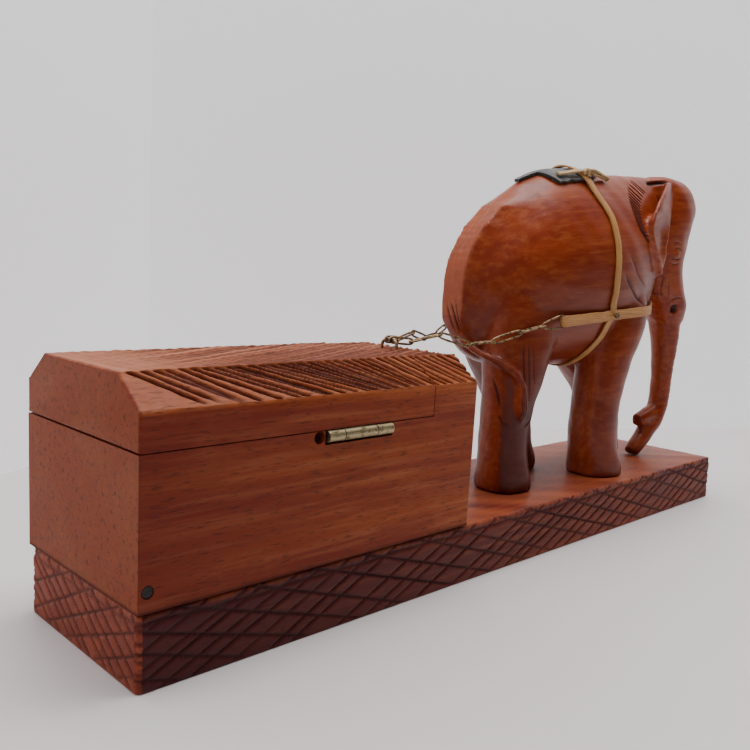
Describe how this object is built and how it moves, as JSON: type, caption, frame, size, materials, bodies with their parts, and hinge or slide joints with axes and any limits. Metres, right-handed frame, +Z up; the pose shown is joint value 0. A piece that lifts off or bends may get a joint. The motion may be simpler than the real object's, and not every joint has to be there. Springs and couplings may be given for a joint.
{
  "type": "carved wooden elephant with log trinket box",
  "caption": "Carved wooden elephant in harness that hauls a hollow log with a hinged lid by two wire chains, on a plank base.",
  "frame": {"origin": "on the table, under the middle of the plank's underside", "axes": "+X along the plank, from the log to the elephant, the way it walks; +Y to the elephant's left; +Z up"},
  "size_m": [0.3, 0.0642, 0.149],
  "materials": {
    "red_wood": "reddish-brown stain, satin wax",
    "log_wood": "orange-brown stain, satin wax",
    "tan_strap": "dry tan strip",
    "dark_pad": "dark grey, dull",
    "dull_brass": "tarnished",
    "bronze_wire": "dark bronze, satin",
    "steel": "plain",
    "plug": "dark filler plug"
  },
  "bodies": {
    "carving": {"base_plank": "red_wood", "breast_strap": "tan_strap", "chain_staple": "bronze_wire", "elephant": "red_wood", "foot_screw_left_front": "steel", "foot_screw_left_hind": "steel", "foot_screw_right_front": "steel", "foot_screw_right_hind": "steel", "girth_strap": "tan_strap", "hinge_leaf_box": "dull_brass", "hinge_nail_box_1": "dull_brass", "hinge_nail_box_2": "dull_brass", "hinge_pin": "dull_brass", "log_box": "log_wood", "log_plug": "plug", "log_screw_1": "steel", "log_screw_2": "steel", "pad_tie": "tan_strap", "saddle_pad": "dark_pad", "strap_nail_left": "bronze_wire", "strap_nail_right": "bronze_wire"},
    "lid": {"hinge_leaf_lid": "dull_brass", "hinge_nail_lid_1": "dull_brass", "hinge_nail_lid_2": "dull_brass", "log_lid": "log_wood"},
    "chain_right": {"chain_link_right_1": "bronze_wire", "chain_link_right_2": "bronze_wire", "chain_link_right_3": "bronze_wire", "chain_link_right_4": "bronze_wire", "chain_link_right_5": "bronze_wire", "chain_link_right_6": "bronze_wire", "chain_link_right_7": "bronze_wire"},
    "chain_left": {"chain_link_left_1": "bronze_wire", "chain_link_left_2": "bronze_wire", "chain_link_left_3": "bronze_wire", "chain_link_left_4": "bronze_wire", "chain_link_left_5": "bronze_wire", "chain_link_left_6": "bronze_wire", "chain_link_left_7": "bronze_wire"}
  },
  "joints": [
    {"name": "lid_hinge", "type": "hinge", "parent": "carving", "child": "lid", "pos_m": [-0.0819, -0.0311, 0.0558], "axis": [1, 0, 0], "range_deg": [0, 150]},
    {"name": "chain_right_swing", "type": "hinge", "parent": "carving", "child": "chain_right", "pos_m": [-0.0412, -0.0012, 0.078], "axis": [0.9593, -0.2667, 0.0929], "range_deg": [-8, 3]},
    {"name": "chain_left_swing", "type": "hinge", "parent": "carving", "child": "chain_left", "pos_m": [-0.0412, 0.0012, 0.078], "axis": [0.9457, 0.3136, 0.0857], "range_deg": [-3, 8]}
  ]
}
